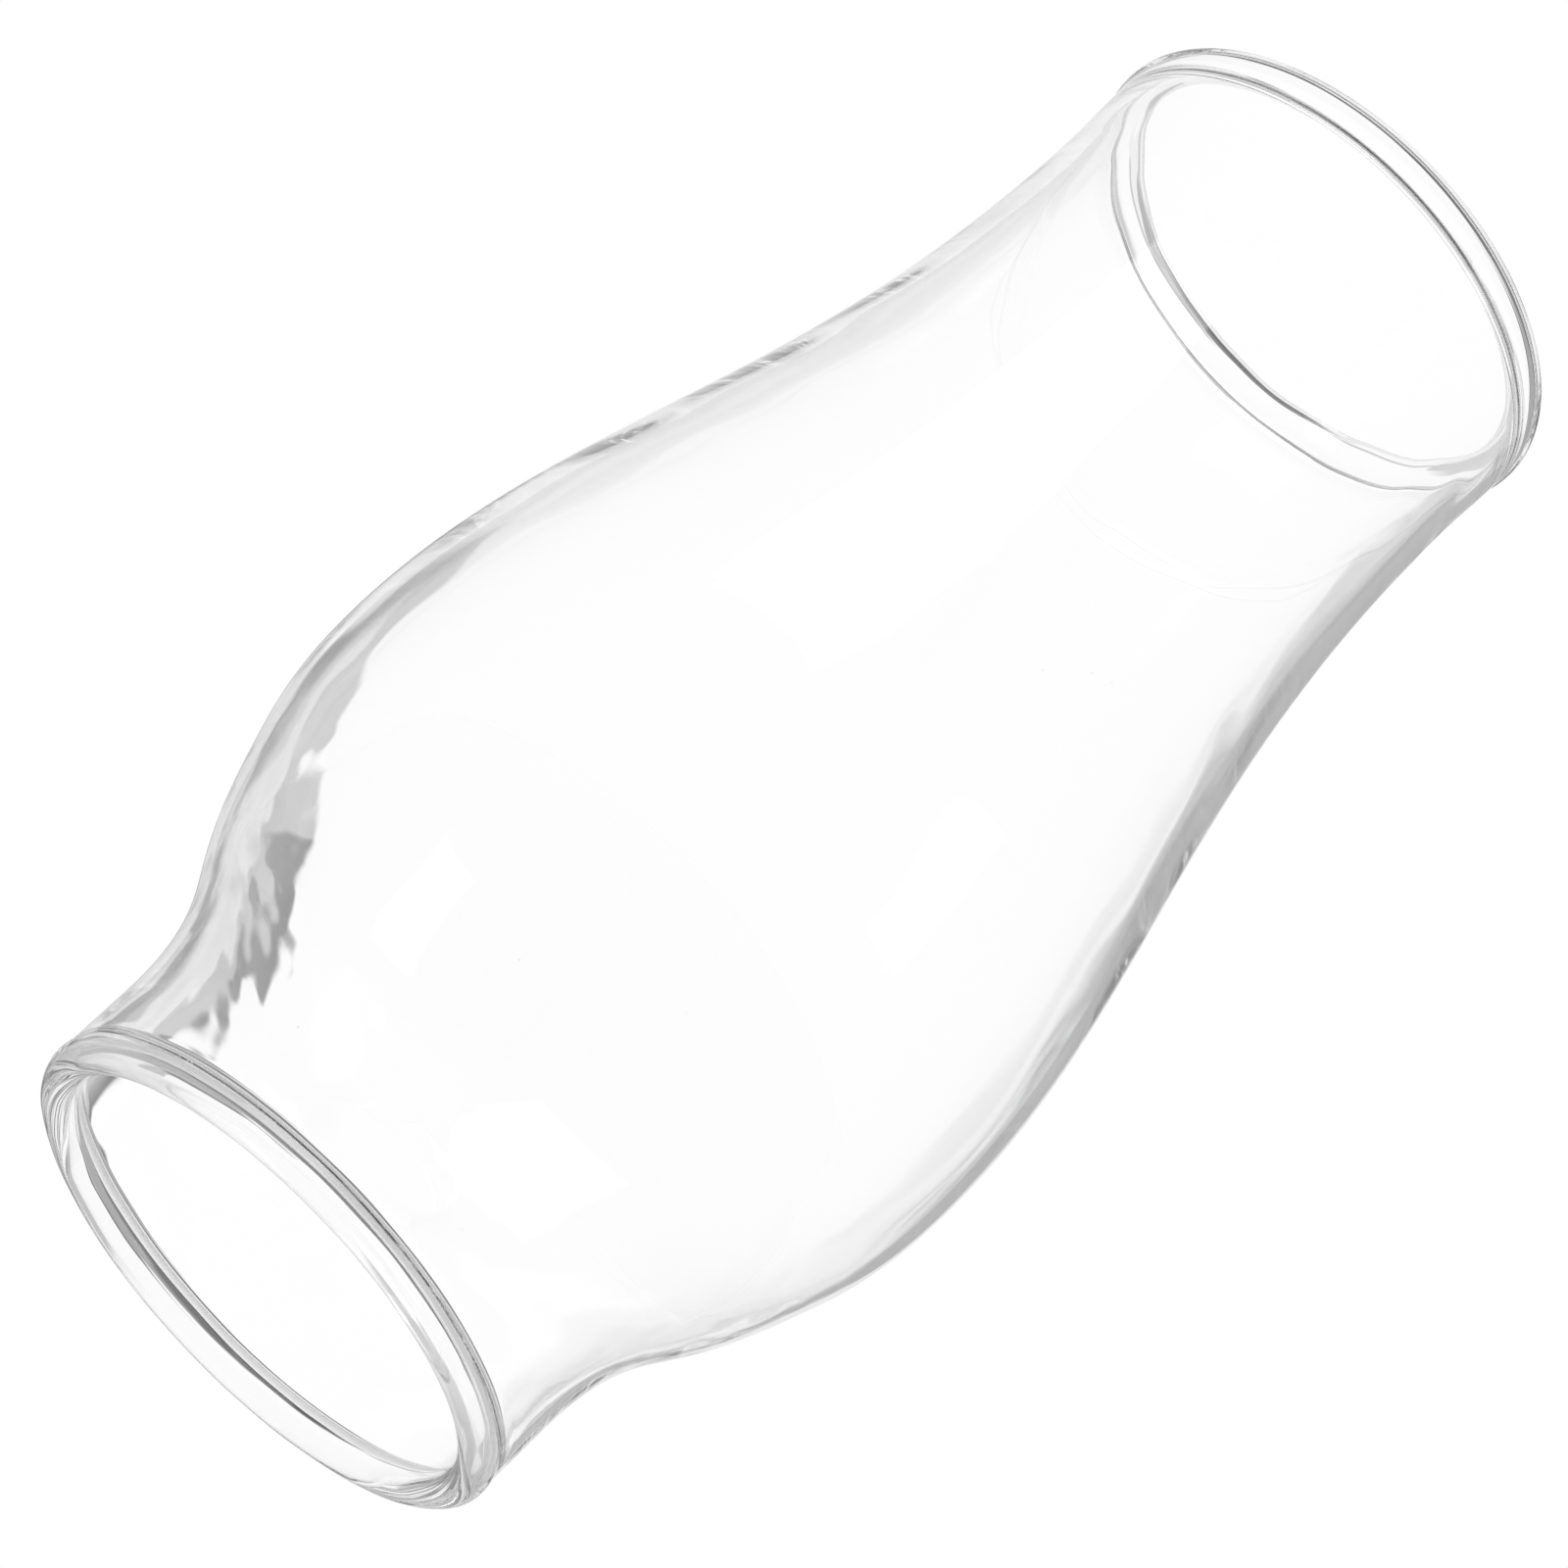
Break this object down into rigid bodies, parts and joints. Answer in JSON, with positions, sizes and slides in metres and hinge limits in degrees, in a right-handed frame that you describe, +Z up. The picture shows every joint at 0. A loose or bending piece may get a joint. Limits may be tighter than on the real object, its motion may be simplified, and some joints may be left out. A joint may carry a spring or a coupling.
{
  "type": "oil lamp chimney glass",
  "caption": "Clear glass chimney for an oil lamp: a belly round the flame, a long neck, open ends and a rolled round bead at each rim.",
  "frame": {"origin": "centre of the base bead's foot, on the surface that the glass stands on", "axes": "+Z up along the glass's own axis, from the burner end to the top; the glass is turned round Z, so +X and +Y are alike"},
  "size_m": [0.109, 0.109, 0.2159],
  "materials": {
    "clear_glass": "gloss"
  },
  "bodies": {
    "root": {"chimney_glass": "clear_glass"}
  },
  "joints": []
}
